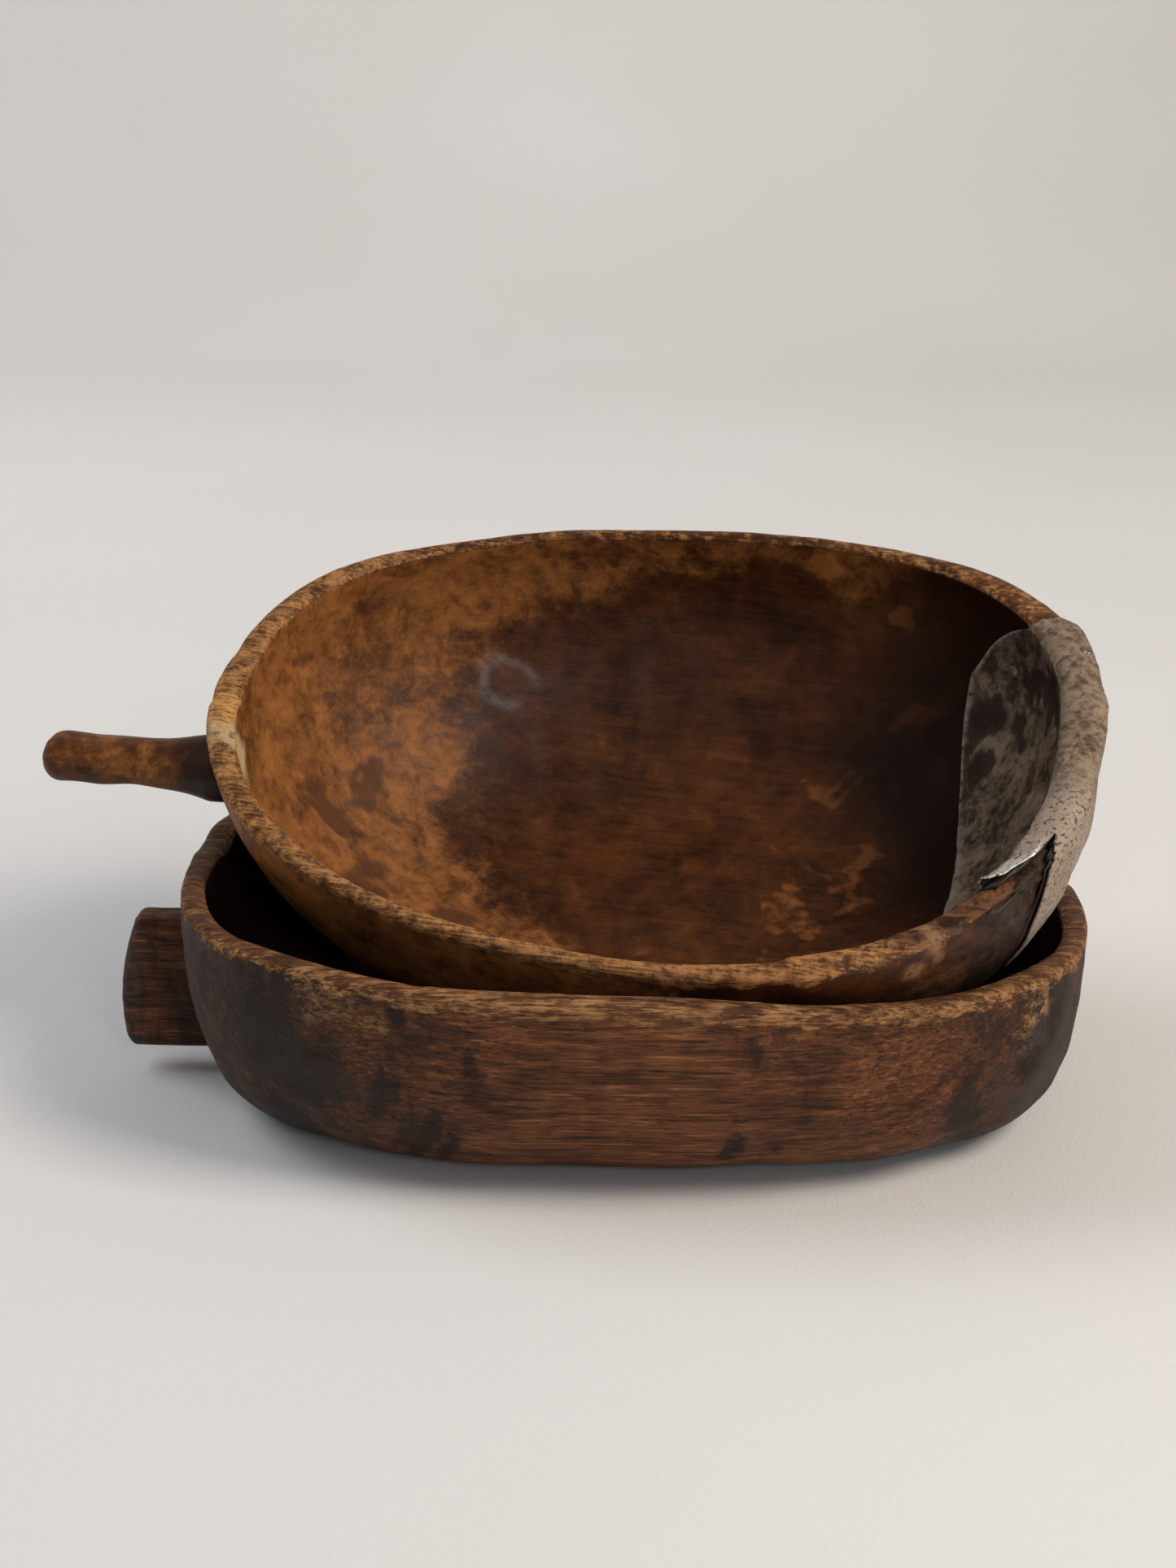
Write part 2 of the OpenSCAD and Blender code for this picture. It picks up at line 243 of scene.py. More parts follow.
def outward(grid, closed=True):
    if closed:
        along = np.roll(grid, -1, 1) - np.roll(grid, 1, 1)
    else:
        along = np.gradient(grid, axis=1)
    normal = np.cross(along, np.gradient(grid, axis=0))
    return normal / np.maximum(np.linalg.norm(normal, axis=-1, keepdims=True), 1e-12)


def ring_faces(rings, around, first=0):
    i, j = np.meshgrid(np.arange(rings - 1), np.arange(around), indexing="ij")
    nxt = (j + 1) % around
    quads = np.stack([i * around + j, i * around + nxt, (i + 1) * around + nxt, (i + 1) * around + j], -1)
    return (quads.reshape(-1, 4) + first).tolist()


# %% [markdown]
# ## From numbers to a Blender object
#
# The mesh carries a few numbers on every point: its place before the vessel
# was tipped, which the grain follows, how worn, stained or bare the wood is
# there, and where painted light, shade and reflection lie. The finishes read
# them.

# %% Make an object
def make_piece(name, points, faces, marks, pose=None):
    mesh = bpy.data.meshes.new(name)
    mesh.from_pydata([tuple(p) for p in points], [], faces)
    marks = dict(marks, place=points)
    for mark, values in marks.items():
        kind, key = ("FLOAT_VECTOR", "vector") if np.ndim(values) == 2 else ("FLOAT", "value")
        mesh.attributes.new(mark, kind, "POINT").data.foreach_set(key, np.ravel(values).astype(np.float32))
    if pose is not None:
        mesh.transform(pose)
    mesh.shade_smooth()
    mesh.update()
    piece = bpy.data.objects.new(name, mesh)
    bpy.context.scene.collection.objects.link(piece)
    print(name, "has", len(mesh.polygons), "faces")
    return piece


def closed_vessel(grid):
    """Points and faces of a stack of rings, each end closed on one point."""
    rings, around = grid.shape[:2]
    points = np.concatenate([grid.reshape(-1, 3), [grid[0].mean(0)], [grid[-1].mean(0)]])
    faces = ring_faces(rings, around)
    low, high, last = rings * around, rings * around + 1, (rings - 1) * around
    faces += [(low, (j + 1) % around, j) for j in range(around)]
    faces += [(high, last + j, last + (j + 1) % around) for j in range(around)]
    return points, faces


def with_ends(values):
    return np.concatenate([np.ravel(values), [values[0].mean()], [values[-1].mean()]])

# %% [markdown]
# ## The bowl
#
# The outside was shaved with long strokes, which leave shallow flats that run
# up and down at the ends and lengthwise along the sides. The rim is rubbed
# round and nicked: two bites are missing, one at each end.

# %% Carve the bowl
def bite(degrees, at, half_width, depth):
    away = (degrees - at + 180) % 360 - 180
    return depth * np.exp(-np.abs(away / half_width) ** 3)


def strokes(degrees, s, count, seed):
    """Flats left by a blade: a scalloped depth across each stroke, at uneven spacing."""
    rng = np.random.default_rng(seed)
    edges = np.sort(rng.uniform(0, 360, count))
    centres = (edges + np.roll(edges, -1)) / 2
    centres[-1] = (edges[-1] + edges[0] + 360) / 2 % 360
    shifted = (degrees + 4 * np.sin(np.radians(s * 2.3)) + 360) % 360
    away = np.abs((shifted[..., None] - centres + 180) % 360 - 180).min(-1)
    return np.clip(1 - (away / 5.0) ** 2, -1, 1)


rings, notes = vessel_rings(bowl_wall, bowl_crown)
sweep = np.repeat(notes[:, 0:1], AROUND, 1)
turn = np.repeat(notes[:, 1:2], AROUND, 1)
side = np.repeat(notes[:, 2:3], AROUND, 1)
degrees = np.repeat(np.degrees(angles)[None], len(notes), 0)
facing = outward(rings)
near_rim = np.exp(-sweep / 5.0)
lengthwise = rings * np.array([0.25, 1, 1])
push = 0.00035 * ripple(rings, 0.060, 1) + 0.00012 * ripple(lengthwise, 0.012, 2) * (1 - 0.8 * near_rim)
flats = strokes(degrees, sweep, 46, 3) * np.exp(-(sweep / 75) ** 4) * (1 - 0.85 * np.exp(-sweep / 9))
push += np.where(side == 0, -0.00030, -0.00020) * flats
push -= near_rim * (0.00004 * ripple(rings, 0.016, 4) + 0.00003 * ripple(rings, 0.004, 6))
push *= np.where(sweep > 89, 0.3, 1.0)
bowl_grid = rings + facing * push[..., None]
lowered = bite(degrees, 8, 3.2, 0.0028) + bite(degrees, 171, 3.6, 0.0016) + bite(degrees, 236, 1.6, 0.0005)
lowered += 0.00028 * ripple(rings * np.array([1, 1, 0]), 0.060, 5)
bowl_grid[..., 2] -= lowered * np.exp(-sweep / 7.0) * (1 - 0.4 * (side == 1))
bowl_grid[..., 2] = np.maximum(bowl_grid[..., 2], 0.0)
bowl_points, bowl_faces = closed_vessel(bowl_grid)

# %% [markdown]
# ## The stub handle
#
# A short upright plate, part of the same block. It is a rounded rectangle,
# pushed out from the wall to an end face that bows slightly outwards.

# %% Shape the stub
STUB = dict(reach=0.019, half_thick=0.006, bottom=0.0075, top=0.0455)


def stub_rings(count=96, stations=26):
    profile = bowl_wall(np.array([math.pi]), np.linspace(0, math.pi / 2, 80), 0)
    tall, middle = (STUB["top"] - STUB["bottom"]) / 2, (STUB["top"] + STUB["bottom"]) / 2
    v = np.linspace(0, 2 * math.pi, count, endpoint=False)
    n = 7
    unit = (np.abs(np.cos(v)) ** n + np.abs(np.sin(v)) ** n) ** (-1 / n)
    cross, rise = unit * np.cos(v), unit * np.sin(v)
    rows, edge = [], 0.0022
    def row(out, inset, share=1.0):
        y = (STUB["half_thick"] - inset) * cross * share
        z = middle + (tall - inset) * rise * share
        u = (z - STUB["bottom"]) / (2 * tall)
        tip = -BOWL["a"] - STUB["reach"] + 0.005 * u ** 3 + 0.002 * (1 - u) ** 6
        wall = np.interp(-z, -profile[:, 2], profile[:, 0]) + 0.003
        rows.append(np.stack([wall + (tip + edge - wall) * out if out <= 1 else tip + edge - (out - 1), y,
            z], -1))
    for out in np.linspace(0, 1, stations):
        row(out, 0.0)
    for k in np.linspace(10, 90, 8):
        deep = edge * math.sin(math.radians(k))
        row(1 + deep, edge * (1 - math.cos(math.radians(k))))
    for share in np.linspace(1, 0.05, 16)[1:]:
        row(1 + edge, edge, share)
    return np.array(rows)


stub = stub_rings()
stub_face = outward(stub)
stub = stub + stub_face * (0.00008 * ripple(stub, 0.018, 11)
    + 0.00006 * ripple(stub * np.array([0.2, 1, 1]), 0.004, 12))[..., None]
stub_points, stub_faces = closed_vessel(stub)
if np.dot(outward(stub)[5, 0], [0, 1, 0]) < 0:
    stub_faces = [face[::-1] for face in stub_faces]
print("stub reaches", round(float(stub_points[:, 0].min()), 4))

# %% [markdown]
# ## Marks of use and painted shade on the bowl
#
# Hands rub the rim down to pale wood. The ends are darker, partly from grease
# and dirt and partly as painted shade where they face away from the light, and
# grey patches there are partly a painted sheen. These are soft masks from 0 to
# 1, painted by place.

# %% Wear and painted shade of the bowl
def patch_of(t, s, at, size, seed, points, ragged=0.35):
    """A ragged spot around an angle and a sweep, 1 in the middle and 0 outside."""
    away = (t - at[0] + 180) % 360 - 180
    distance = np.sqrt((away / size[0]) ** 2 + ((s - at[1]) / size[1]) ** 2)
    uneven = ragged * (ripple(points, 0.014, seed) + 0.5 * ripple(points, 0.005, seed + 500))
    return soft_step(-distance - uneven, -1.75, -0.25)


rough_edge = ripple(rings, 0.010, 21)
bowl_worn = np.where(side == 0.5, 0.72 + 0.3 * soft_step(np.abs(turn - 90), 35, 70),
    soft_step(-sweep + 0.4 * rough_edge, -2.4, -0.2)) * np.where(side == 1, 0.6, 1.0)
run_down = np.zeros_like(sweep)
for across, wide, strong in ((-0.084, 0.008, 1.0), (-0.066, 0.003, 0.9), (-0.058, 0.0025, 0.8),
    (-0.052, 0.002, 0.9),
                             (-0.045, 0.0025, 0.7), (0.004, 0.004, 0.35), (0.024, 0.003, 0.7),
                                 (0.034, 0.003, 0.6), (0.088, 0.009, 0.9)):
    wander = 0.0022 * ripple(rings * np.array([0, 1, 1]), 0.05, 27)
    fade = 0.55 + 0.45 * ripple(rings * np.array([1, 1, 0.6]), 0.022, 28)
    run_down = np.maximum(run_down, strong * np.exp(-((rings[..., 0] - across
        + wander) / (1.7 * wide)) ** 2) * np.clip(fade, 0.1, 1.2))
run_down = np.clip(run_down, 0, 1) * np.where(side == 0, 1.0, 0.3)
# the ends are darkened: partly grease and dirt, partly painted shade where they face away from the light
bowl_grime_and_shade = np.maximum(soft_step(-rings[..., 0], 0.040, 0.095),
    soft_step(rings[..., 0], 0.066, 0.108)) * np.where(side == 0, 1.0, 0.35)
bowl_pale = np.maximum(patch_of(degrees, sweep, (-33, 5), (2.6, 5), 22, rings),
                       patch_of(degrees, sweep, (6, 4), (7, 8), 23, rings))
bowl_pale = np.maximum(bowl_pale, 0.6 * patch_of(degrees, sweep, (-132, 3), (5, 3), 25, rings))
# grey patches near the ends and on the stub's end face: partly the wood's own grey, partly a painted sheen
# of the cool light from the left
bowl_slate_and_sheen = np.maximum(patch_of(degrees, sweep, (-28, 27), (5, 14), 24, rings, 0.5),
                        0.35 * patch_of(degrees, sweep, (-140, 20), (8, 12), 26, rings, 0.5))
bowl_marks = dict(stain=with_ends(run_down), worn=with_ends(bowl_worn), grime_and_shade=with_ends(bowl_grime_and_shade),
    pale=with_ends(bowl_pale),
                  slate_and_sheen=with_ends(bowl_slate_and_sheen), inner=with_ends(np.where(side > 0.6, 1.0, 0.0)))
flat_stub = np.zeros(len(stub_points))
# the stub's top edge gets the rubbed tan: partly wear, partly painted light on its upward face
stub_marks = dict(stain=0.45 + flat_stub, worn=0.5 * soft_step(stub_points[:, 2], 0.0435, 0.0452),
    grime_and_shade=flat_stub, pale=flat_stub,
                  slate_and_sheen=0.8 * soft_step(-stub_points[:, 0], 0.1335, 0.1362), inner=flat_stub)
all_points = np.concatenate([bowl_points, stub_points])
all_faces = bowl_faces + [tuple(k + len(bowl_points) for k in face) for face in stub_faces]
all_marks = {key: np.concatenate([bowl_marks[key], stub_marks[key]]) for key in bowl_marks}
bowl_piece = make_piece("carved_bowl", all_points, all_faces, all_marks)

# %% [markdown]
# ## The cup
#
# The cup is thinner and was finished with more care, but its rim has had a
# hard life. Along the near side a step shows where a strip of the outer edge
# broke away. Beside the mend the wood is bare and torn.

# %% Carve the cup
rings, notes = vessel_rings(cup_wall, cup_crown)
sweep = np.repeat(notes[:, 0:1], AROUND, 1)
turn = np.repeat(notes[:, 1:2], AROUND, 1)
side = np.repeat(notes[:, 2:3], AROUND, 1)
degrees = np.repeat(np.degrees(angles)[None], len(notes), 0)
signed = (degrees + 180) % 360 - 180
facing = outward(rings)
near_rim = np.exp(-sweep / 5.0)
push = 0.00030 * ripple(rings, 0.070, 31) + 0.00010 * ripple(rings, 0.018, 32) * (1 - 0.8 * near_rim)
flats = strokes(degrees, sweep, 52, 33) * np.exp(-(sweep / 75) ** 4) * (1 - 0.9 * np.exp(-sweep / 9))
push += np.where(side == 0, -0.00022, -0.00010) * flats
push -= near_rim * (0.00003 * ripple(rings, 0.018, 34) + 0.00003 * ripple(rings, 0.004, 38))

# the higher, thicker stretch of the near rim, with the step at its left end
kept = soft_step(signed, -56.0, -54.4) * (1 - soft_step(signed, -27, -16))
push += kept * np.where(side == 0, 0.0011, 0.0) * np.exp(-(sweep / 9) ** 2)
lifted = 0.0013 * kept * np.exp(-sweep / 8.0)
# torn wood beside the mend: splinters and two open cracks
torn = soft_step(signed, -38, -33) * (1 - soft_step(signed, -16, -12)) * np.exp(-(sweep / 7.0) ** 2)
torn *= np.where(side == 1, 0.4, 1.0)
fibres = ripple(rings * np.array([0.3, 1.0, 1.0]), 0.0035, 35)
push += torn * (-0.0007 + 0.0004 * fibres)
for crack_at, crack_wide in ((-25.0, 0.35), (-29.5, 0.25)):
    wander = 1.2 * ripple(rings, 0.008, 36)
    push -= 0.0012 * torn * np.exp(-((signed - crack_at - wander) / crack_wide) ** 2)
cup_grid = rings + facing * push[..., None]
lowered = bite(degrees, 187, 1.3, 0.0011) + bite(degrees, 176, 2.2, 0.0008) + bite(degrees, 232, 2.0,
    0.0004)
lowered += 0.00030 * ripple(rings * np.array([1, 1, 0]), 0.055, 37)
cup_grid[..., 2] += lifted - lowered * np.exp(-sweep / 7.0)
cup_points, cup_faces = closed_vessel(cup_grid)

# %% [markdown]
# ## The cup's handle
#
# A slender round-edged stick, a little stouter where it leaves the wall, with
# a blunt round end. Its rings are ellipses strung along a straight line.

# %% Shape the handle
HANDLE = dict(length=0.047, width=0.016, thick=0.0125, root=0.005, leaves_at=-163, turned=-173, rises=4.5,
    drop=0.0095)


def handle_rings(count=96):
    along = np.concatenate([np.linspace(-HANDLE["root"], HANDLE["length"] - 0.007, 60),
                            HANDLE["length"] - 0.007 * (1 - np.sin(np.linspace(0, math.pi / 2, 22)[1:-1])),
                            [HANDLE["length"] - 0.00001]])
    v = np.linspace(0, 2 * math.pi, count, endpoint=False)
    swell = 1 + 0.3 * np.maximum(0, 1 - np.maximum(along, 0) / 0.014) ** 2
    tip = np.clip((HANDLE["length"] - along) / 0.007, 0, 1)
    blunt = np.sqrt(np.maximum(1 - (1 - tip) ** 2.6, 0.0004))
    slim = 1 - 0.06 * np.exp(-((along - 0.022) / 0.012) ** 2)
    size = (swell * blunt * slim)[:, None]
    return np.stack([along[:, None] + 0 * v, HANDLE["width"] / 2 * size * np.cos(v),
                     HANDLE["thick"] / 2 * size * np.sin(v)], -1)


handle = handle_rings()
handle_push = 0.00022 * ripple(handle, 0.020, 41) - 0.00010 * np.abs(ripple(handle * np.array([0.2, 1, 1]),
    0.006, 42))
handle = handle + outward(handle) * handle_push[..., None]
leave = math.radians(HANDLE["leaves_at"])
wall_point = cup_wall(np.array([leave]), np.array([math.radians(5)]), 0)[0]
rim_point = cup_crown(np.array([leave]), np.array([math.pi / 2]))[0]
handle_frame = (Matrix.Translation((wall_point[0], wall_point[1], rim_point[2] - HANDLE["drop"]))
                @ turn_matrix("Z", HANDLE["turned"]) @ turn_matrix("Y", -HANDLE["rises"]))
handle_points, handle_faces = closed_vessel(handle)
turned_points = np.array([handle_frame @ Vector(p) for p in handle_points])
if np.dot(outward(handle)[30, 0], [0, 1, 0]) < 0:
    handle_faces = [face[::-1] for face in handle_faces]
print("handle tip at", [round(float(v), 4) for v in turned_points[-1]])

# %% [markdown]
# ## Stains, wear and painted light of the cup
#
# Food and drink have dyed the hollow nearly black. Towards the handle end the
# wood is orange, with dark blots; the orange is partly the wood's own colour and
# partly painted light, where the key light falls on that wall. Beside the mend
# the inner wall is darkened as painted shade, and a pale ring on the far inner
# wall is a painted reflection. The near-left outside is lightened as painted
# light, and the handle darkens to near black where it leaves the wall. The rim
# is rubbed to tan. Each of these is a mask, painted by place on the wall.

# %% Masks of the cup
wavy = 6.0 * ripple(rings, 0.040, 51) + 3.0 * ripple(rings, 0.013, 52)
round_far = (degrees + 20) % 360 - 20
# the edge of the orange zone inside: the orange is partly the wood's own colour and partly painted light,
# where the key light falls on that wall
orange_edge_angle = np.interp(sweep, [0, 8, 15, 25, 35, 45, 55, 65, 78, 100, 130],
    [103, 106, 120, 137, 148, 157, 164, 177, 192, 205, 215])
inner_orange_and_lit = soft_step(round_far + 0.7 * wavy - orange_edge_angle, -24,
    20) * (1 - soft_step(round_far + 0.7 * wavy, 222, 292))
inner_orange_and_lit *= 1 - soft_step(sweep + 0.5 * wavy, 68, 90)
blots = np.zeros_like(sweep)
for number, (at, size) in enumerate([((171, 42), (3.4, 5)), ((178, 46), (3, 4)), ((187, 42), (3, 7)),
    ((184, 33), (2, 4)),
                                     ((168, 30), (2.6, 4)), ((195, 52), (3.4, 5)), ((201, 42), (2.6, 9)),
                                     ((150, 14), (2.4, 3)), ((163, 10), (3, 3)), ((205, 66), (6, 4)),
                                         ((216, 58), (4, 5))]):
    blots = np.maximum(blots, patch_of(round_far, sweep, at, size, 60 + number, rings, 0.5))
warm_spots = np.zeros_like(sweep)
for number, (at, size) in enumerate([((29, 46), (3, 4)), ((44, 64), (5, 4)), ((37, 28), (2.2, 9)),
    ((38, 40), (3, 6)),
                                     ((10, 72), (9, 5)), ((-8, 84), (14, 4)), ((33, 55), (2.5, 3)),
                                         ((52, 15), (1.8, 2))]):
    warm_spots = np.maximum(warm_spots, patch_of(round_far, sweep, at, size, 80 + number, rings, 0.6))
far_band = soft_step(-sweep + 4 * ripple(rings, 0.03, 53), -13, -6) * soft_step(round_far, 40,
    60) * (1 - soft_step(round_far, 150, 170))
inside = np.where(side > 0.6, 1.0, 0.0)
# orange and lit mask of the hollow, partly painted light
cup_orange_and_lit = inside * np.maximum(inner_orange_and_lit, 0.55 * far_band)
cup_spots = inside * warm_spots
cup_blots = inside * blots
# painted shade: the inner wall beside the mend, which faces away from the key light, is darkened towards
# black
painted_shade_mended_end = inside * soft_step(round_far + 0.3 * wavy, -40,
    5) * (1 - soft_step(round_far + 0.3 * wavy, 26, 74)) * (1 - soft_step(sweep, 48, 84))
edge_noise = ripple(rings, 0.010, 54)
cup_worn = np.where(side == 0.5, 1.0, soft_step(-sweep + 0.4 * edge_noise, -1.9, 0.0)) * np.where(side == 1,
    0.5, 1.0)
cup_worn *= 1 - 0.45 * soft_step(signed, 50, 90) * (1 - soft_step(signed, 130, 160))
cup_worn *= 1 - 0.75 * soft_step(signed, -56, -38) * (1
    - soft_step(signed, 60, 110)) * np.where(side == 0.5, 0.6, 1.0)
upper = np.where(side == 1, 0.8, np.where(side == 0.5, soft_step(-turn - 25 * edge_noise, -150, -95), 0.0))
cup_bare = upper * soft_step(signed + 0.8 * edge_noise, -43,
    -38) * (1 - soft_step(signed + 0.8 * edge_noise, -25, -22)) * np.exp(-(sweep / 6) ** 2)
cup_old = np.where(side == 1, 0.0, 1.0) * soft_step(signed + 1.2 * edge_noise, -35,
    -27) * (1 - soft_step(signed, 14, 18))
cup_pale = np.maximum(patch_of(signed, sweep, (-36.5, 1), (0.9, 1.5), 55, rings, 0.4),
                      patch_of(signed, sweep, (-39.5, 3), (1.0, 1.7), 56, rings, 0.4)) * np.where(side == 1,
                          0.0, 1.0)
cup_chip = patch_of(signed, sweep, (-164.5, 4), (2.2, 5), 57, rings, 0.3) * np.where(side == 0, 0.0, 1.0)
cup_nick = patch_of(round_far, sweep, (189, 0), (2.8, 4), 58, rings, 0.3) * np.where(side == 1, 0.0, 1.0)
cup_soot = np.where(side == 0, 1.0, 0.0) * soft_step(sweep, 2, 14)
cup_soot = np.maximum(cup_soot, np.where(side == 0, 0.8, 0.0) * soft_step(signed, -30,
    -20) * (1 - soft_step(signed, 40, 60)))
# painted light: the near-left outside of the cup is lightened to orange and cleared of soot, standing in
# for light from the front left
lit_side = np.where(side == 0, 1.0, 0.0) * soft_step(-signed, 62, 84) * (1 - soft_step(-signed, 150, 165))
cup_soot *= 1 - 0.9 * lit_side
cup_orange_and_lit = np.maximum(cup_orange_and_lit, 1.0 * lit_side)
cup_marks = dict(worn=cup_worn, light=cup_orange_and_lit, spots=cup_spots, blots=cup_blots, bare=cup_bare,
    old=cup_old, pale=cup_pale,
                 chip=cup_chip, nick=cup_nick, soot=cup_soot, deep=painted_shade_mended_end, inner=inside)
cup_marks = {key: with_ends(values) for key, values in cup_marks.items()}
# painted reflection: a pale horseshoe ring on the far inner wall, standing in for a window's reflection in
# the polished hollow
reflection_ring_reach = np.sqrt(((round_far - 134) / 5.5) ** 2 + ((sweep - 38) / 6.5) ** 2) + 0.12 * ripple(rings, 0.012,
    59)
painted_reflection_ring = inside * np.exp(-((reflection_ring_reach - 1) / 0.22) ** 2) * soft_step(np.abs(round_far - 131)
    - (sweep - 36) * 0.5, -3, 2)
cup_marks["ring"] = with_ends(painted_reflection_ring)
none = np.zeros(len(handle_points))
handle_marks = {key: none for key in cup_marks}
cup_marks["root"] = np.zeros(len(cup_points))
handle_marks["ring"] = none
# the handle darkens to near black over its first 15 mm from the wall
handle_marks["root"] = 0.92 * (1 - soft_step(handle_points[:, 0], 0.002, 0.015))
handle_marks["worn"] = 0.15 * soft_step(handle_points[:, 2], 0.000, 0.006)
handle_marks["blots"] = 0.8 * soft_step(handle_points[:, 0], 0.0435, 0.0465)
handle_marks["light"] = none + 0.30
all_points = np.concatenate([cup_points, turned_points])
all_faces = cup_faces + [tuple(k + len(cup_points) for k in face) for face in handle_faces]
all_marks = {key: np.concatenate([cup_marks[key], handle_marks[key]]) for key in cup_marks}
cup_piece = make_piece("carved_cup", all_points, all_faces, all_marks, cup_frame)

# %% [markdown]
# ## The tin mend
#
# One sheet of tin, folded over the rim. The inner leaf is large and leaf
# shaped, with a narrow rolled hem. Over the crown the sheet was beaten down
# in flats, so its edge looks like a polygon. At the near end it has torn on
# the slant, and a corner of it has curled up.
#
# A place on the sheet is an angle and a run: minus the sweep on the inner
# leaf, 0 to 180 over the crown, and more than 180 down the outer leaf.

# %% Outline of the mend
LEAF_MIDDLE, LEAF_HALF, LEAF_DROP = 1.0, 35.0, 46.0
OUTER_DROP = 24.0


def leaf_half_width(run):
    return LEAF_HALF * (1 - np.clip((-run - 2) / LEAF_DROP, 0, 0.995) ** 2.6) ** (1 / 2.6)


def far_edge(run):
    over = np.interp(run, [0, 60, 120, 180, 192, 204], [25.5, 25, 24, 21.5, 19.5, 13])
    leaf = np.minimum(LEAF_MIDDLE + leaf_half_width(run), 35.5 - 10 * np.exp(np.minimum(run, 0) / 9))
    return np.where(run < 0, leaf, over)


def near_edge(run):
    over = np.interp(run, [0, 30, 62, 80, 94, 110, 140, 180, 192, 204],
        [-25.8, -25.8, -25.2, -24.0, -19.5, -15.5, -17.5, -19.5, -21.5, -22.5])
    leaf = np.maximum(LEAF_MIDDLE - leaf_half_width(run), -25.8 + run * 0.35)
    return np.where(run < 0, leaf, over)


def on_section(t, run, gap):
    """A place over the wood, lifted off it by a gap."""
    t, run = np.broadcast_arrays(t, run)
    inner = cup_wall(t, np.radians(np.clip(-run, 0, 89)), 1, gap)
    over = cup_crown(t, np.radians(np.clip(run, 0, 180)), gap)
    outer = cup_wall(t, np.radians(np.clip(run - 180, 0, 89)), 0, gap)
    pick = run[..., None]
    return np.where(pick < 0, inner, np.where(pick > 180, outer, over))


def sheet_grid(rows, columns, beyond=0.0, jag=0.0, seed=0):
    """Runs and angles of a grid that fills the outline of the mend."""
    rng = np.random.default_rng(seed)
    low, high = -(LEAF_DROP + 1.6) - beyond, 180 + OUTER_DROP + beyond
    share = np.linspace(0, 1, rows)
    run = low + (high - low) * share
    inside_run = np.clip(run, -(LEAF_DROP + 1.6), high)
    near, far = near_edge(inside_run) - 0.5 * beyond, far_edge(inside_run) + 0.5 * beyond
    teeth = np.interp(share, np.linspace(0, 1, 46), rng.normal(0, 1, 46))
    near = near + jag * teeth * np.where(run > 0, 1, 0.15)
    far = far + 0.3 * jag * np.interp(share, np.linspace(0, 1, 46), rng.normal(0, 1, 46))
    v = np.linspace(0, 1, columns)
    return np.repeat(run[:, None], columns, 1), near[:, None] + (far - near)[:, None] * v


# %% [markdown]
# ## Beating, curling and folding the sheet
#
# The upper face is pushed off the wood by the gap, then by dents. The torn
# corner is lifted and rolled. A second face, half a millimetre lower, gives
# the sheet its thickness, and a strip joins the two all round.

# %% Beat the tin
TIN, GAP = 0.0005, 0.0008


def two_faced(top, under):
    rows, columns = top.shape[:2]
    count = rows * columns
    points = np.concatenate([top.reshape(-1, 3), under.reshape(-1, 3)])
    i, j = np.meshgrid(np.arange(rows - 1), np.arange(columns - 1), indexing="ij")
    a = (i * columns + j).reshape(-1)
    quads = np.stack([a, a + 1, a + columns + 1, a + columns], -1)
    faces = quads.tolist() + (quads[:, ::-1] + count).tolist()
    edge = [(0, j) for j in range(columns)] + [(i, columns - 1) for i in range(1, rows)]
    edge += [(rows - 1, j) for j in range(columns - 2, -1, -1)] + [(i, 0) for i in range(rows - 2, 0, -1)]
    ring = [i * columns + j for i, j in edge]
    for k, one in enumerate(ring):
        two = ring[(k + 1) % len(ring)]
        faces.append((two, one, one + count, two + count))
    return points, faces


run, angle = sheet_grid(230, 150, jag=0.35, seed=7)
t = np.radians(angle)
flat_tin = on_section(t, run, GAP + TIN)
tin_facing = outward(flat_tin, closed=False)
if np.dot(tin_facing[10, 70], [-1, 0, 0.2]) < 0:
    tin_facing = -tin_facing
near, far = near_edge(run), far_edge(run)
millimetre = 0.5                                   # degrees of angle to a millimetre, near the end
edge_away = np.minimum((far - angle) / millimetre, (angle - near) / millimetre)
edge_away = np.minimum(edge_away, (run + LEAF_DROP + 1.6) * 1.3)
hem = (1 - soft_step(edge_away, 1.1, 1.7)) * (1 - soft_step(run, -6, 0)) * soft_step(angle, -24, -18)
on_fold = soft_step(run, 20, 120) * (1 - 0.6 * soft_step(run, 184, 202))
beaten = np.zeros_like(run)
for fold_at, half in ((20.5, 7.0), (6.0, 7.0), (-8.0, 5.0), (-15.0, 3.5)):
    beaten = np.maximum(beaten, 1 - np.abs(angle - fold_at) / half)
lift = 0.00042 * hem + 0.0011 * np.maximum(beaten, 0) * on_fold + 0.00012 * ripple(flat_tin, 0.012,
    71) + 0.00005 * ripple(flat_tin, 0.004, 72)
ridge = np.exp(-((run - 168 + 0.9 * (angle - 5)) / 7) ** 2) * soft_step(run, 20, 60)
lift += 0.00025 * ridge
corner = np.clip((near + 7.5 - angle) / 7.5, 0, 1.2)
along_tear = np.exp(-((run - 58) / 34) ** 4)
curl = corner ** 2 * along_tear
top_tin = flat_tin + tin_facing * (lift + 0.0016 * curl)[..., None]
under_tin = top_tin - tin_facing * TIN
tin_points, tin_faces = two_faced(top_tin, under_tin)
both = lambda values: np.concatenate([values.ravel(), values.ravel()])
tin_marks = dict(hem=both(hem), fold=both(soft_step(run, -3, 12)), curl=both(soft_step(curl, 0.05, 0.32)),
                 low=both(soft_step(-angle, 2, 12) * soft_step(run, -3, 10)))
tin_marks["under"] = np.concatenate([np.zeros(hem.size), np.ones(hem.size)])
stained = np.zeros_like(run)
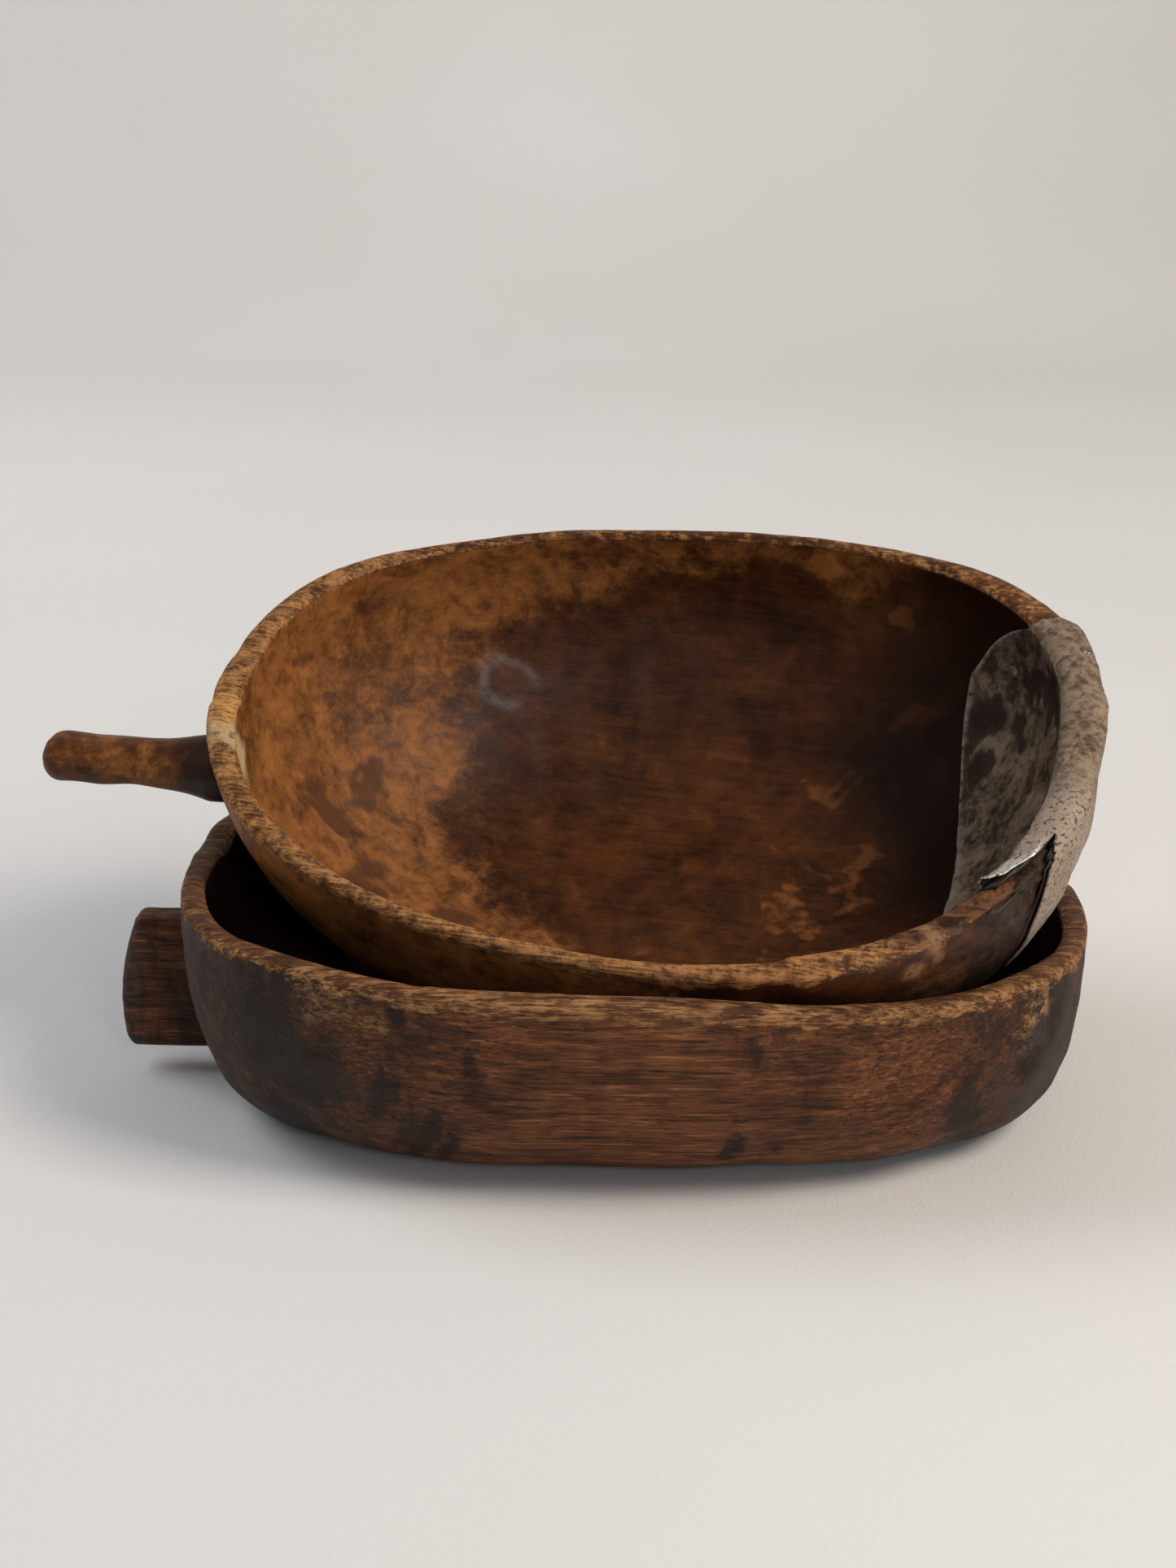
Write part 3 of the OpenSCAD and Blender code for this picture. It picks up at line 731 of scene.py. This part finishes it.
for number, (at, size) in enumerate([((27, -30), (5, 9)), ((25, -14), (3, 5)), ((20, -22), (1.6, 3)),
    ((19, -38), (3, 5)),
                                     ((8, -44), (2.4, 3)), ((22, -10), (3.5, 4)), ((14, -8), (5, 4))]):
    stained = np.maximum(stained, patch_of(angle, run, at, size, 90 + number, flat_tin, 0.7))
tin_marks["stain"] = both(stained)
tin_marks["shade"] = both(soft_step(run, -16, -6) * (1 - soft_step(run, -4, 8)))
tin_piece = make_piece("folded_tin", tin_points, tin_faces, tin_marks, cup_frame)

# %% [markdown]
# ## The pitch
#
# Pitch was run between the wood and the tin, and a little of it shows as a
# black line round the leaf. It fills the gap, and reaches a little past the
# edges of the tin.

# %% Spread the pitch
run, angle = sheet_grid(170, 110, beyond=1.0, jag=0.5, seed=9)
t = np.radians(angle)
base = on_section(t, run, 0.00012)
pitch_facing = outward(base, closed=False)
if np.dot(pitch_facing[10, 50], [-1, 0, 0.2]) < 0:
    pitch_facing = -pitch_facing
border = np.minimum(np.arange(110), np.arange(110)[::-1])[None] / 6
border = np.minimum(border, np.minimum(np.arange(170), np.arange(170)[::-1])[:, None] / 3)
plump = np.sqrt(np.clip(border, 0, 1))
top_pitch = base + pitch_facing * ((0.00056 + 0.00006 * ripple(base, 0.005, 73)) * plump)[..., None]
pitch_points, pitch_faces = two_faced(top_pitch, base - pitch_facing * 0.0004)
pitch_piece = make_piece("pitch_seam", pitch_points, pitch_faces, {}, cup_frame)

# %% [markdown]
# ## Writing finishes as sums
#
# A finish is a net of nodes. Wiring them one by one is slow to read, so a
# value in the net is wrapped in a small class: adding or multiplying two of
# them adds the Math node that does it. Colours are blended by Mix nodes,
# because a Math node would turn them grey.

# %% Values in a finish
class Value:
    """The output of a node; arithmetic on it adds Math nodes."""

    def __init__(self, finish, socket):
        self.finish, self.socket = finish, socket

    def math(self, operation, one, two):
        return self.finish.node("ShaderNodeMath", {"operation": operation}, {0: one, 1: two})

    def __add__(self, other): return self.math("ADD", self, other)
    def __radd__(self, other): return self.math("ADD", other, self)
    def __sub__(self, other): return self.math("SUBTRACT", self, other)
    def __rsub__(self, other): return self.math("SUBTRACT", other, self)
    def __mul__(self, other): return self.math("MULTIPLY", self, other)
    def __rmul__(self, other): return self.math("MULTIPLY", other, self)
    def __pow__(self, other): return self.math("POWER", self, other)


class Finish:
    """One material, made of nodes."""

    def __init__(self, name):
        self.material = bpy.data.materials.new(name)
        self.material.use_nodes = True
        self.tree = self.material.node_tree
        self.tree.nodes.clear()

    def node(self, kind, settings=None, sockets=None, out=0):
        made = self.tree.nodes.new(kind)
        for key, value in (settings or {}).items():
            setattr(made, key, value)
        for key, value in (sockets or {}).items():
            if isinstance(value, Value):
                self.tree.links.new(value.socket, made.inputs[key])
            else:
                made.inputs[key].default_value = value
        return Value(self, made.outputs[out])

    def mark(self, name):
        return self.node("ShaderNodeAttribute", {"attribute_name": name}, out=2)

    def place(self, x=1.0, y=1.0, z=1.0):
        """Where the point was before the piece was tipped, stretched along each axis."""
        own = self.node("ShaderNodeAttribute", {"attribute_name": "place"}, out=1)
        return self.node("ShaderNodeVectorMath", {"operation": "MULTIPLY"}, {0: own, 1: (x, y, z)})

    def cloud(self, where, scale, detail=3.0, rough=0.55, twist=0.0):
        return self.node("ShaderNodeTexNoise", None, {"Vector": where, "Scale": scale, "Detail": detail,
                                                      "Roughness": rough, "Distortion": twist})

    def between(self, value, low, high):
        return self.node("ShaderNodeMapRange", {"interpolation_type": "SMOOTHSTEP"},
                         {"Value": value, "From Min": low, "From Max": high})

    def blend(self, one, two, share):
        return self.node("ShaderNodeMix", {"data_type": "RGBA"}, {0: share, 6: one, 7: two}, out=2)

    def darken(self, colour, share):
        """Multiply a colour by a grey value."""
        grey = self.node("ShaderNodeCombineColor", None, {0: share, 1: share, 2: share})
        return self.node("ShaderNodeMix", {"data_type": "RGBA", "blend_type": "MULTIPLY"},
            {0: 1.0, 6: colour, 7: grey}, out=2)

    def bump(self, height, strength, distance):
        return self.node("ShaderNodeBump", None,
            {"Strength": strength, "Distance": distance, "Height": height})

    def surface(self, **sockets):
        shader = self.node("ShaderNodeBsdfPrincipled", None,
            {key.replace("_", " "): value for key, value in sockets.items()})
        output = self.tree.nodes.new("ShaderNodeOutputMaterial")
        self.tree.links.new(shader.socket, output.inputs["Surface"])
        print("finish", self.material.name, "has", len(self.tree.nodes), "nodes")
        return self.material


def colour(r, g, b):
    return (r, g, b, 1.0)


# %% [markdown]
# ## The finish of the bowl
#
# Old birch or pine, dark with smoke and handling. Thin streaks run along the
# grain. Darker stains stand upright where liquid ran down. The rim is rubbed
# to a dusty tan. The ends are darkened, partly by grime and partly as painted
# shade, and carry grey patches that are partly a painted sheen. The whole
# inside is darkened as painted shade under the cup.

# %% Wood of the bowl
def bowl_wood():
    wood = Finish("smoked_bowl_wood")
    streaks = wood.cloud(wood.place(22, 420, 420), 1.0, 5.0, 0.72, 0.6)
    fibres = wood.cloud(wood.place(70, 1500, 1500), 1.0, 4.0, 0.70, 0.2)
    pores = wood.between(wood.cloud(wood.place(130, 1700, 1700), 1.0, 2.0, 0.5), 0.58, 0.66)
    cloudy = wood.cloud(wood.place(1, 1, 1), 34.0, 5.0, 0.65, 0.6)
    upright = wood.cloud(wood.place(80, 60, 30), 1.0, 6.0, 0.72, 0.8)
    broken = wood.cloud(wood.place(0.5, 1, 1), 260.0, 5.0, 0.74)
    base = wood.blend(colour(0.030, 0.009, 0.004), colour(0.200, 0.066, 0.021),
        wood.between(streaks * 0.55 + fibres * 0.35 + cloudy * 0.35 + broken * 0.2, 0.56, 0.90))
    light = wood.between(fibres, 0.53, 0.66) * wood.between(streaks + cloudy, 0.85, 1.20)
    base = wood.blend(base, colour(0.40, 0.175, 0.070), 0.70 * light)
    stain = wood.between(0.34 * wood.mark("stain") + 0.85 * upright + 0.50 * broken
        + 0.16 * wood.mark("grime_and_shade"), 0.74, 0.98)
    base = wood.blend(base, colour(0.016, 0.007, 0.005),
        0.90 * stain * wood.between(fibres + 0.3 * stain, 0.30, 0.62))
    thin = wood.between(wood.cloud(wood.place(18, 900, 900), 1.0, 2.0, 0.5), 0.64, 0.70)
    base = wood.blend(base, colour(0.012, 0.005, 0.003), 0.7 * thin)
    # grime and painted shade darken the ends
    grime_and_shade = wood.mark("grime_and_shade") * wood.between(cloudy + 0.6 * broken, 0.42, 0.95)
    base = wood.blend(base, colour(0.019, 0.011, 0.009), 0.86 * grime_and_shade)
    # grey: partly a painted sheen at the left end
    base = wood.blend(base, colour(0.060, 0.052, 0.050),
        0.60 * wood.mark("slate_and_sheen") * wood.between(broken, 0.3, 0.6))
    worn = wood.between(wood.mark("worn") + 1.3 * broken + 0.4 * fibres - 0.42 * wood.mark("grime_and_shade"), 1.28,
        1.70)
    dusty = wood.blend(colour(0.085, 0.033, 0.012), colour(0.40, 0.19, 0.075),
        wood.between(fibres * 0.8 + broken * 0.8 + streaks * 0.3, 0.86, 1.12))
    base = wood.blend(base, dusty, 0.92 * worn)
    base = wood.blend(base, colour(0.46, 0.24, 0.085),
        0.8 * wood.mark("pale") * wood.between(broken + 0.4 * fibres, 0.62, 0.86))
    base = wood.darken(base, 1.0 - 0.55 * pores)
    # painted shade: the whole inside of the bowl is darkened by 60%, where the cup above shades it
    base = wood.darken(base, 1.0 - 0.60 * wood.mark("inner"))
    height = streaks * 0.4 + fibres * 0.5 + broken * (0.5 + 0.5 * worn) - 0.6 * pores
    return wood.surface(Base_Color=base, Roughness=0.46 + 0.26 * broken + 0.15 * worn,
        Specular_IOR_Level=0.20,
                        Normal=wood.bump(height, 0.55, 0.0007))


bowl_piece.data.materials.append(bowl_wood())

# %% [markdown]
# ## The finish of the cup
#
# The same kind of wood, with three faces. The hollow is nearly black and
# polished, the handle end is orange with soft dark blots, partly painted light,
# and the outside is brown with soot. Painted shade darkens the inner wall beside
# the mend, and a pale painted reflection rings the far inner wall. Where the
# wood is torn it is raw and dull.

# %% Wood of the cup
def cup_wood():
    wood = Finish("oiled_cup_wood")
    streaks = wood.cloud(wood.place(16, 300, 300), 1.0, 6.0, 0.70, 0.8)
    fibres = wood.cloud(wood.place(70, 1500, 1500), 1.0, 4.0, 0.70, 0.2)
    cloudy = wood.cloud(wood.place(1, 1, 1), 36.0, 6.0, 0.70, 0.6)
    mottle = wood.cloud(wood.place(1, 1, 1), 120.0, 5.0, 0.72, 0.5)
    broken = wood.cloud(wood.place(1, 1, 1), 300.0, 5.0, 0.74)
    breakup = 0.45 * cloudy + 0.60 * mottle + 0.40 * broken - 0.72
    brown = wood.blend(colour(0.020, 0.0052, 0.0013), colour(0.115, 0.034, 0.008),
        wood.between(streaks * 0.30 + cloudy * 0.5 + mottle * 0.4 + fibres * 0.2, 0.52, 0.92))
    orange = wood.blend(colour(0.070, 0.021, 0.005), colour(0.390, 0.142, 0.034),
        wood.between(cloudy * 0.5 + streaks * 0.25 + mottle * 0.6 + broken * 0.3, 0.60, 1.05))
    # the light mark: orange wood, partly painted light in the hollow, and painted light on the near-left
    # outside
    light = wood.between(wood.mark("light") + 1.6 * breakup, 0.10, 0.90)
    base = wood.blend(brown, orange, light)
    base = wood.blend(base, colour(0.34, 0.115, 0.030),
        0.60 * wood.between(wood.mark("spots") + 2.6 * breakup, 0.50, 1.45))
    base = wood.blend(base, colour(0.038, 0.011, 0.006),
        0.80 * wood.between(wood.mark("blots") + 2.2 * breakup, 0.40, 1.25))
    # painted shade: near black on the inner wall beside the mend
    base = wood.blend(base, colour(0.0055, 0.0012, 0.0006),
        0.94 * wood.between(wood.mark("deep") + 0.9 * breakup, 0.15, 0.95))
    soot = wood.blend(colour(0.040, 0.016, 0.009), colour(0.150, 0.062, 0.028),
        wood.between(streaks * 0.4 + broken * 0.4 + fibres * 0.3, 0.42, 0.68))
    base = wood.blend(base, soot, 0.9 * wood.between(wood.mark("soot") + 0.8 * breakup, 0.2, 0.7))
    # near black where the handle leaves the wall
    base = wood.blend(base, colour(0.010, 0.0032, 0.0014), wood.mark("root"))
    worn = wood.between(wood.mark("worn") + 1.3 * broken + 0.4 * fibres, 1.20, 1.66)
    rubbed = wood.blend(colour(0.075, 0.026, 0.008), colour(0.50, 0.225, 0.075),
        wood.between(fibres * 0.7 + broken * 0.7 + streaks * 0.3, 0.72, 1.02))
    base = wood.blend(base, rubbed, 0.92 * worn)
    raw = wood.blend(colour(0.030, 0.012, 0.006), colour(0.260, 0.100, 0.036),
        wood.between(streaks * 0.6 + 0.6 * broken + 0.3 * fibres, 0.62, 0.95))
    base = wood.blend(base, wood.blend(colour(0.016, 0.007, 0.004), colour(0.050, 0.022, 0.011),
        wood.between(broken, 0.40, 0.62)),
                      0.95 * wood.between(wood.mark("old") + 0.5 * breakup, 0.2, 0.7))
    base = wood.blend(base, raw, wood.between(wood.mark("bare") + 0.6 * breakup, 0.2, 0.6))
    base = wood.blend(base, colour(0.34, 0.17, 0.075),
        0.75 * wood.mark("pale") * wood.between(broken, 0.34, 0.54))
    base = wood.blend(base, colour(0.66, 0.48, 0.26),
        0.85 * wood.mark("chip") * wood.between(broken, 0.30, 0.50))
    base = wood.blend(base, colour(0.62, 0.31, 0.09),
        0.85 * wood.mark("nick") * wood.between(fibres, 0.36, 0.56))
    # painted reflection: the pale ring of a window's reflection
    base = wood.blend(base, colour(0.25, 0.20, 0.19),
        0.55 * wood.mark("ring") * wood.between(broken, 0.25, 0.6))
    height = streaks * 0.3 + fibres * 0.3 + mottle * 0.25 + broken * (0.25 + 0.6 * worn)
    rough = 0.34 + 0.18 * light + 0.16 * broken + 0.22 * worn + 0.18 * wood.mark("soot")
    return wood.surface(Base_Color=base, Roughness=rough, Specular_IOR_Level=0.24,
        Normal=wood.bump(height, 0.5, 0.0006))


cup_piece.data.materials.append(cup_wood())

# %% [markdown]
# ## Old tin
#
# Tinned iron gone dull: pale beige-grey on the fold, which hands keep clean,
# and paler still towards the near end; darker and blotched on the leaf, with
# freckles of rust. The fold's paleness is partly painted light, where the crown
# faces up into the light, and the leaf's darkness partly painted shade, where it
# faces away. A band under the fold is painted shade, and the hem carries a
# painted highlight. The torn corner shows bright metal.

# %% Tin, pitch and iron
def old_tin():
    tin = Finish("dull_tin")
    broad = tin.cloud(tin.place(), 90.0, 5.0, 0.66, 0.4)
    grain = tin.cloud(tin.place(), 480.0, 4.0, 0.70)
    freckle = tin.between(tin.cloud(tin.place(), 1000.0, 2.0, 0.5), 0.55, 0.63)
    # the leaf darker than the fold: partly the metal's own wear, partly painted shade on the leaf, which
    # faces away from the light, and painted light on the crown, which faces up into it
    leaf = tin.blend(colour(0.030, 0.017, 0.009), colour(0.215, 0.150, 0.098),
        tin.between(broad * 0.8 + grain * 0.4, 0.46, 0.74))
    fold = tin.blend(colour(0.070, 0.041, 0.024), colour(0.34, 0.235, 0.155),
        tin.between(broad * 0.5 + grain * 0.7, 0.44, 0.72))
    fold = tin.blend(fold, colour(0.46, 0.36, 0.275), 0.65 * tin.mark("low"))
    base = tin.blend(leaf, fold, tin.mark("fold"))
    base = tin.blend(base, colour(0.016, 0.009, 0.006),
        0.88 * tin.between(tin.mark("stain") + 1.3 * grain + 0.9 * broad - 1.1, 0.20, 0.95))
    base = tin.blend(base, colour(0.045, 0.022, 0.011), 0.85 * freckle * (0.25 + 0.75 * tin.mark("low")))
    base = tin.darken(base, 1.0 - 0.35 * tin.mark("shade"))
    # painted highlight: a thin pale line along the raised hem
    base = tin.blend(base, colour(0.32, 0.27, 0.22), 0.6 * tin.mark("hem") * tin.between(grain, 0.3, 0.6))
    base = tin.blend(base, colour(0.80, 0.74, 0.66), tin.mark("curl") * (1.0 - 0.8 * freckle))
    base = tin.blend(base, colour(0.04, 0.022, 0.014), 0.85 * tin.mark("under"))
    metal = 0.10 + 0.22 * tin.mark("fold") + 0.50 * tin.mark("curl") - 0.3 * freckle
    rough = 0.60 - 0.28 * tin.mark("curl") + 0.18 * grain
    return tin.surface(Base_Color=base, Metallic=metal, Roughness=rough, Specular_IOR_Level=0.4,
                       Normal=tin.bump(broad * 0.5 + grain * 0.6, 0.35, 0.0006))


def old_pitch():
    pitch = Finish("black_pitch")
    lumps = pitch.cloud(pitch.place(), 260.0, 4.0, 0.6)
    base = pitch.blend(colour(0.010, 0.006, 0.004), colour(0.035, 0.020, 0.012), lumps)
    return pitch.surface(Base_Color=base, Roughness=0.42 + 0.3 * lumps,
        Normal=pitch.bump(lumps, 0.6, 0.0008))


def forged_iron():
    iron = Finish("dark_iron")
    where = iron.node("ShaderNodeTexCoord", None, None, out=3)
    hammered = iron.cloud(where, 500.0, 3.0, 0.6)
    rust = iron.between(iron.cloud(where, 900.0, 3.0, 0.6), 0.48, 0.62)
    base = iron.blend(colour(0.25, 0.22, 0.19), colour(0.07, 0.035, 0.02), rust)
    return iron.surface(Base_Color=base, Metallic=0.85 - 0.6 * rust, Roughness=0.40 + 0.35 * rust,
                        Normal=iron.bump(hammered, 0.5, 0.0004))


tin_piece.data.materials.append(old_tin())
pitch_piece.data.materials.append(old_pitch())
iron = forged_iron()
for name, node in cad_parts.items():
    if "tack" in name:
        node.data.materials.clear()
        node.data.materials.append(iron)

# %% [markdown]
# ## Fitting the pieces to the part
#
# Each piece rides on its body, so it follows when the cup is lifted out, and
# takes the place of the plain solid that it refines.

# %% Fit the pieces
for piece, body, node, slot in ((bowl_piece, "bowl", "companion_bowl", "dark_wood"),
                                (cup_piece, "cup", "cup_body", "warm_wood"),
                                (tin_piece, "cup", "tin_patch", "old_tin"),
                                (pitch_piece, "cup", "pitch_bed", "pitch")):
    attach(piece, body)
    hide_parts(node)

# %% [markdown]
# ## Floor, backdrop and light
#
# A pale floor runs up into a pale backdrop in one sweep, like paper in a
# studio. A soft window to the right gives the main light. A small one in front
# and a wide, cooler one to the left keep the shadows open, and a lamp behind
# the pair lights the backdrop.

# %% Floor and backdrop
def paper_sweep(half_width=3.0, near=-2.6, far=1.9, radius=0.7, height=2.6):
    side_line = [(near, 0.0), (far - radius, 0.0)]
    side_line += [(far - radius + radius * math.sin(a),
        radius - radius * math.cos(a)) for a in np.linspace(0, math.pi / 2, 24)[1:]]
    side_line += [(far, height)]
    points = [(x, y, z) for y, z in side_line for x in (-half_width, half_width)]
    faces = [(2 * k, 2 * k + 1, 2 * k + 3, 2 * k + 2) for k in range(len(side_line) - 1)]
    mesh = bpy.data.meshes.new("paper")
    mesh.from_pydata(points, [], faces)
    mesh.shade_smooth()
    paper = bpy.data.objects.new("paper", mesh)
    bpy.context.scene.collection.objects.link(paper)
    return paper


paper = paper_sweep()
cream = Finish("cream_cloth")
where = cream.node("ShaderNodeTexCoord", None, None, out=3)
weave = cream.cloud(where, 900.0, 2.0, 0.5)
tone = cream.cloud(where, 3.0, 2.0, 0.5)
cloth = cream.blend(colour(0.72, 0.68, 0.65), colour(0.80, 0.77, 0.75), tone)
paper.data.materials.append(cream.surface(Base_Color=cloth, Roughness=0.9,
    Normal=cream.bump(weave, 0.25, 0.0006)))


# %% Lights
def window(name, place, aim, size, power, tint):
    data = bpy.data.lights.new(name, "AREA")
    data.shape, data.size, data.energy, data.color = "SQUARE", size, power, tint
    lamp = bpy.data.objects.new(name, data)
    lamp.location = place
    lamp.rotation_euler = (Vector(aim) - Vector(place)).to_track_quat("-Z", "Y").to_euler()
    bpy.context.scene.collection.objects.link(lamp)
    return lamp


window("right_window", (0.95, -0.45, 1.05), (0, 0, 0.06), 0.6, 14.5, (1.0, 0.93, 0.83))
window("front_window", (0.26, -1.05, 0.52), (0, 0, 0.10), 0.20, 1.6, (0.88, 0.94, 1.0))
soft = window("left_window", (-1.1, 0.25, 1.15), (-0.2, 0.15, 0.0), 1.0, 11.0, (0.84, 0.92, 1.0))
soft.visible_glossy = False
behind = window("backdrop_lamp", (0.0, 0.75, 1.55), (0.0, 1.9, 0.95), 1.2, 9.0, (1.0, 0.96, 0.91))
behind.visible_glossy = False
world = bpy.data.worlds.new("studio_air")
world.use_nodes = True
world.node_tree.nodes["Background"].inputs["Color"].default_value = (0.95, 0.97, 1.0, 1)
world.node_tree.nodes["Background"].inputs["Strength"].default_value = 0.22
bpy.context.scene.world = world
bpy.context.scene.view_settings.view_transform = "Standard"
